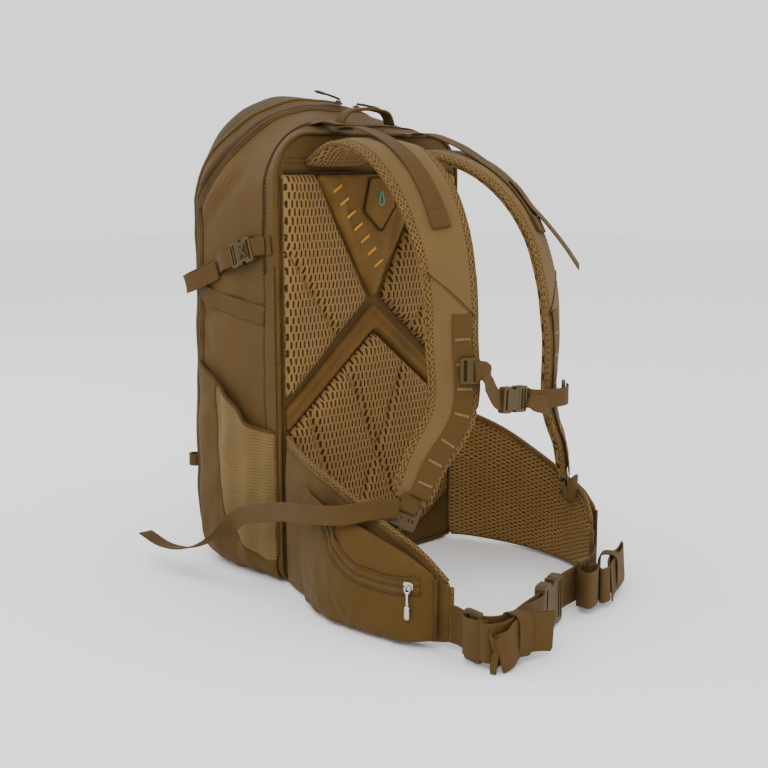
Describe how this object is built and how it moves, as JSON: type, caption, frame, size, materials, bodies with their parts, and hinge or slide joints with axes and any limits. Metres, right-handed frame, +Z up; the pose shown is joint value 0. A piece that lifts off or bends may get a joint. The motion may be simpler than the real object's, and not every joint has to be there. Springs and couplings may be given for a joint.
{
  "type": "hunting backpack",
  "caption": "Framed day pack with padded shoulder straps, zip-open front, stretch side pockets and a padded hip belt with zip pockets.",
  "frame": {"origin": "middle of the back panel's bottom edge, on the ground plane that the bag stands on", "axes": "+Z up, -Y towards the wearer's back, -X to the wearer's right"},
  "size_m": [0.3819, 0.5338, 0.5337],
  "materials": {
    "nylon_body": "coyote brown honeycomb nylon",
    "nylon_front": "olive brown nylon",
    "air_mesh": "tan open air mesh over foam",
    "yoke_fabric": "smooth dark brown fabric",
    "strap_fabric": "padded brown fabric",
    "webbing": "woven brown webbing",
    "stretch_mesh": "ribbed stretch mesh",
    "piping": "dark bound edge",
    "buckle_plastic": "moulded acetal",
    "sheet_plastic": "polyethylene sheet",
    "stay_metal": "bare bar",
    "zip_metal": "nickel plated",
    "lining": "light lining cloth"
  },
  "bodies": {
    "pack_body": {"back_pad_left": "air_mesh", "back_pad_right": "air_mesh", "back_yoke": "yoke_fabric", "bag_shell": "nylon_body", "belt_tail_left": "webbing", "belt_webbing_left": "webbing", "compression_front_left": "webbing", "compression_front_right": "webbing", "compression_socket_left": "buckle_plastic", "compression_socket_right": "buckle_plastic", "compression_webbing": "webbing", "cross_band": "yoke_fabric", "daisy_webbing_left": "webbing", "daisy_webbing_right": "webbing", "edge_piping": "piping", "frame_sheet": "sheet_plastic", "frame_stays": "stay_metal", "hip_pocket_left": "nylon_body", "hip_wing_left": "air_mesh", "hydration_sleeve": "lining", "ladder_lock_left": "buckle_plastic", "ladder_lock_right": "buckle_plastic", "lifter_locks": "buckle_plastic", "load_lifter_left": "webbing", "load_lifter_right": "webbing", "lower_webbing_left": "webbing", "lower_webbing_right": "webbing", "lumbar_pad": "air_mesh", "shoulder_strap_left": "strap_fabric", "shoulder_strap_right": "strap_fabric", "side_pocket_left": "stretch_mesh", "side_pocket_right": "stretch_mesh", "tri_glide_left": "buckle_plastic", "webbing_tail_right": "webbing", "zip_tape_body": "piping"},
    "front_cover": {"front_panel": "nylon_front", "zip_tape_panel": "piping", "gear_loops": "webbing"},
    "zip_slider_right_body": {"zip_slider_right": "zip_metal"},
    "zip_slider_left_body": {"zip_slider_left": "zip_metal"},
    "zip_pull_right_body": {"zip_pull_right": "webbing"},
    "zip_pull_left_body": {"zip_pull_left": "webbing"},
    "belt_right": {"hip_wing_right": "air_mesh", "hip_pocket_right": "nylon_body", "belt_webbing_right": "webbing", "belt_tail_right": "webbing", "tri_glide_right": "buckle_plastic", "belt_socket": "buckle_plastic"},
    "belt_plug_body": {"belt_plug": "buckle_plastic"},
    "pocket_slider_body": {"pocket_slider": "zip_metal"},
    "pocket_pull_body": {"pocket_pull": "zip_metal"},
    "sternum_strap": {"sternum_sliders": "buckle_plastic", "sternum_socket": "buckle_plastic", "sternum_webbing_right": "webbing", "sternum_webbing_left": "webbing"},
    "sternum_plug_body": {"sternum_plug": "buckle_plastic"},
    "compression_plug_right_body": {"compression_plug_right": "buckle_plastic"},
    "compression_plug_left_body": {"compression_plug_left": "buckle_plastic"},
    "grab_handle_body": {"grab_handle": "webbing"},
    "hydration_flap_body": {"hydration_flap": "yoke_fabric"}
  },
  "joints": [
    {"name": "front_panel_open", "type": "hinge", "parent": "pack_body", "child": "front_cover", "pos_m": [0, 0.19, 0.045], "axis": [-1, 0, 0], "range_deg": [0, 90]},
    {"name": "zip_slider_right_travel", "type": "hinge", "parent": "pack_body", "child": "zip_slider_right_body", "pos_m": [0, 0.15824, 0.395], "axis": [0, -0.8115, -0.5843], "range_deg": [0, 40]},
    {"name": "zip_slider_left_travel", "type": "hinge", "parent": "pack_body", "child": "zip_slider_left_body", "pos_m": [0, 0.15824, 0.395], "axis": [0, 0.8115, 0.5843], "range_deg": [0, 24]},
    {"name": "zip_pull_right_flip", "type": "hinge", "parent": "zip_slider_right_body", "child": "zip_pull_right_body", "pos_m": [0.01149, 0.06416, 0.52976], "axis": [-0.0261, 0.9708, 0.2385], "range_deg": [0, 110]},
    {"name": "zip_pull_left_flip", "type": "hinge", "parent": "zip_slider_left_body", "child": "zip_pull_left_body", "pos_m": [0.04541, 0.06766, 0.52491], "axis": [0.1033, -0.9628, -0.2495], "range_deg": [0, 110]},
    {"name": "belt_right_open", "type": "hinge", "parent": "pack_body", "child": "belt_right", "pos_m": [-0.132, -0.008, 0.026], "axis": [0, 0, -1], "range_deg": [0, 35], "deforming": ["webbing_tail_right"]},
    {"name": "belt_buckle_release", "type": "slide", "parent": "pack_body", "child": "belt_plug_body", "axis": [0.9473, 0.3202, 0], "range_m": [0, 0.018], "deforming": ["belt_webbing_left"]},
    {"name": "pocket_slider_travel", "type": "slide", "parent": "belt_right", "child": "pocket_slider_body", "axis": [-0.1829, 0.9831, 0], "range_m": [0, 0.035]},
    {"name": "pocket_pull_swing", "type": "hinge", "parent": "pocket_slider_body", "child": "pocket_pull_body", "pos_m": [-0.18583, -0.23677, 0.062], "axis": [-0.1829, 0.9831, 0], "range_deg": [0, 80]},
    {"name": "sternum_height", "type": "slide", "parent": "pack_body", "child": "sternum_strap", "axis": [0, 0, 1], "range_m": [-0.012, 0.012]},
    {"name": "sternum_buckle_release", "type": "slide", "parent": "sternum_strap", "child": "sternum_plug_body", "axis": [0.9982, 0, -0.0599], "range_m": [0, 0.011], "deforming": ["sternum_webbing_left"]},
    {"name": "compression_right_release", "type": "slide", "parent": "pack_body", "child": "compression_plug_right_body", "axis": [0, 0.9507, -0.3102], "range_m": [0, 0.011], "deforming": ["compression_front_right"]},
    {"name": "compression_left_release", "type": "slide", "parent": "pack_body", "child": "compression_plug_left_body", "axis": [0, 0.9507, -0.3102], "range_m": [0, 0.011], "deforming": ["compression_front_left"]},
    {"name": "grab_handle_flip", "type": "hinge", "parent": "pack_body", "child": "grab_handle_body", "pos_m": [0, 0.006, 0.5], "axis": [1, 0, 0], "range_deg": [-30, 30]},
    {"name": "hydration_flap_lift", "type": "hinge", "parent": "pack_body", "child": "hydration_flap_body", "pos_m": [0, -0.0088, 0.44], "axis": [-1, 0, 0], "range_deg": [0, 60]}
  ]
}
